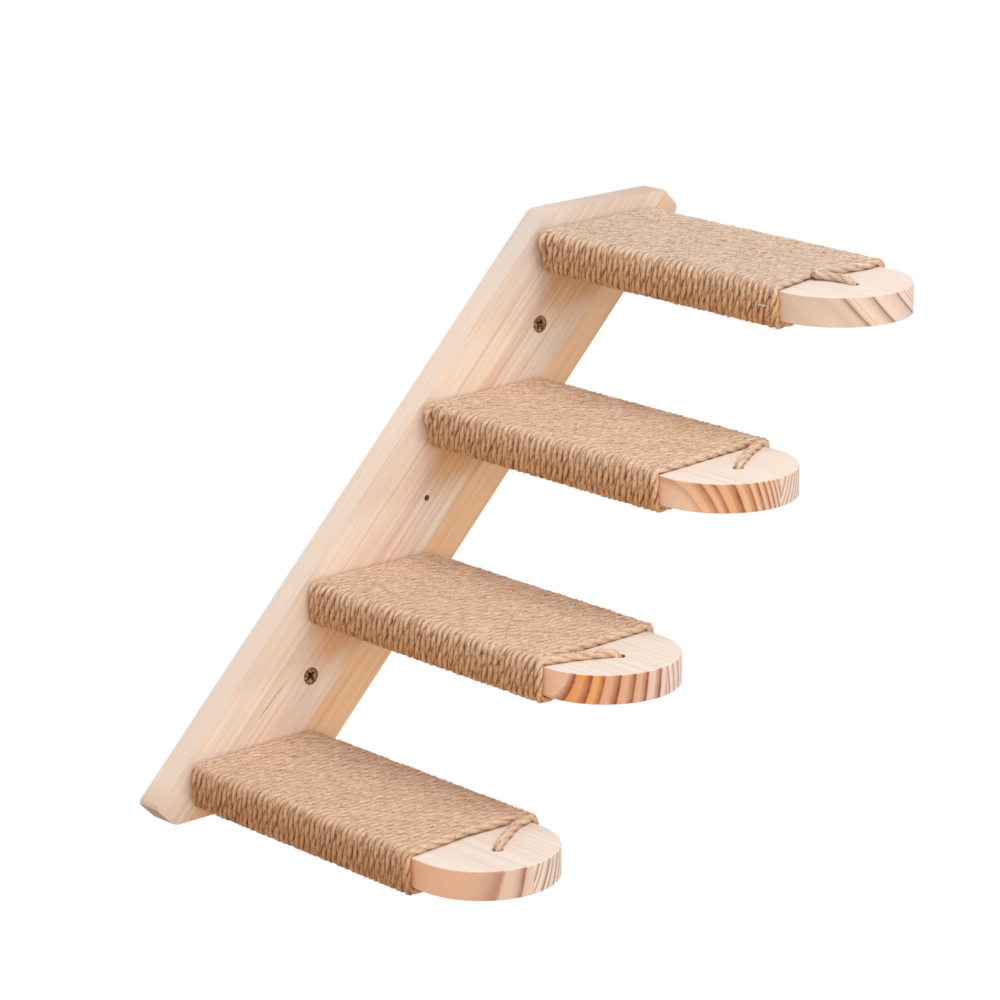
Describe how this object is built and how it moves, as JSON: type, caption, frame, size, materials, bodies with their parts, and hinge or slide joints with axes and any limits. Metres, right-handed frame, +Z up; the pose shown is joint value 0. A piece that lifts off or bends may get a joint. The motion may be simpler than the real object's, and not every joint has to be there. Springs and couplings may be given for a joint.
{
  "type": "cat climbing wall",
  "caption": "Sloping wall-mounted pine board that carries projecting treads with rounded ends, each wound with jute rope for a cat to climb.",
  "frame": {"origin": "axis of the board's middle fixing hole, on the wall face (the board's back)", "axes": "+X along the wall to the right as seen from the room, +Y into the wall, +Z up"},
  "size_m": [0.4818, 0.3404, 0.37],
  "materials": {
    "pine": "planed and sanded pale pine, bare or thinly oiled",
    "pine_edge_stave": "planed and sanded pine heartwood, more orange",
    "pine_tread": "planed and sanded pale pine with growth rings on the cut end",
    "jute_rope": "twisted three-strand jute, matt and slightly hairy",
    "wall_screw_metal": "yellow-passivated zinc, dulled",
    "tread_screw_metal": "zinc plated",
    "staple_wire": "galvanised wire"
  },
  "bodies": {
    "root": {"main_stave": "pine", "edge_stave": "pine_edge_stave", "tread_1": "pine_tread", "tread_2": "pine_tread", "tread_3": "pine_tread", "tread_4": "pine_tread", "rope_1": "jute_rope", "rope_2": "jute_rope", "rope_3": "jute_rope", "rope_4": "jute_rope", "rope_staple": "staple_wire", "wall_screw_upper": "wall_screw_metal", "wall_screw_lower": "wall_screw_metal", "tread_1_screw_left": "tread_screw_metal", "tread_1_screw_right": "tread_screw_metal", "tread_2_screw_left": "tread_screw_metal", "tread_2_screw_right": "tread_screw_metal", "tread_3_screw_left": "tread_screw_metal", "tread_3_screw_right": "tread_screw_metal", "tread_4_screw_left": "tread_screw_metal", "tread_4_screw_right": "tread_screw_metal"}
  },
  "joints": []
}
